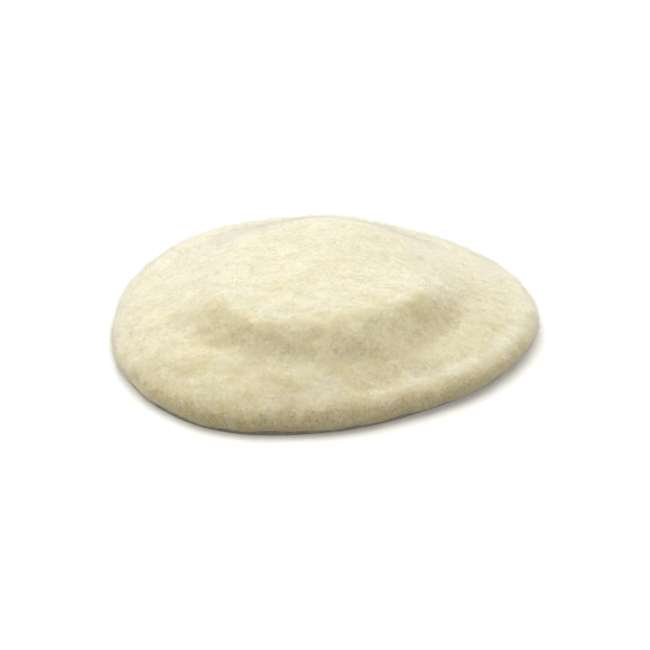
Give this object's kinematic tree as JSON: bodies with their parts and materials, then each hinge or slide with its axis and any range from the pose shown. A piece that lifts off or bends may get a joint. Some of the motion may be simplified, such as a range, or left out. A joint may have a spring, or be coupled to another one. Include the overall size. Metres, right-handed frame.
{
  "type": "felt polishing wheel",
  "caption": "Round face wheel of soft wool felt: raised crown and sloping brim over a cushioned backing plate with a riveted, threaded hub.",
  "frame": {"origin": "on the spin axis, at the hub's seating face, which is also the plane the wheel lies on", "axes": "+Z along the spin axis, out of the felt's working face; +X towards a spanner flat on the hub"},
  "size_m": [0.076, 0.076, 0.0144],
  "materials": {
    "wool_felt": "matte",
    "backing_cloth": "matte",
    "adhesive": "satin",
    "foam": "matte",
    "fibre_plate": "matte",
    "hub_steel": "satin",
    "rivet_metal": "satin"
  },
  "bodies": {
    "root": {"felt_face": "wool_felt", "brim_backing": "backing_cloth", "felt_adhesive": "adhesive", "cushion_pad": "foam", "cushion_adhesive": "adhesive", "backing_plate": "fibre_plate", "spindle_hub": "hub_steel", "rivet_1": "rivet_metal", "rivet_2": "rivet_metal", "rivet_3": "rivet_metal", "rivet_4": "rivet_metal"}
  },
  "joints": []
}
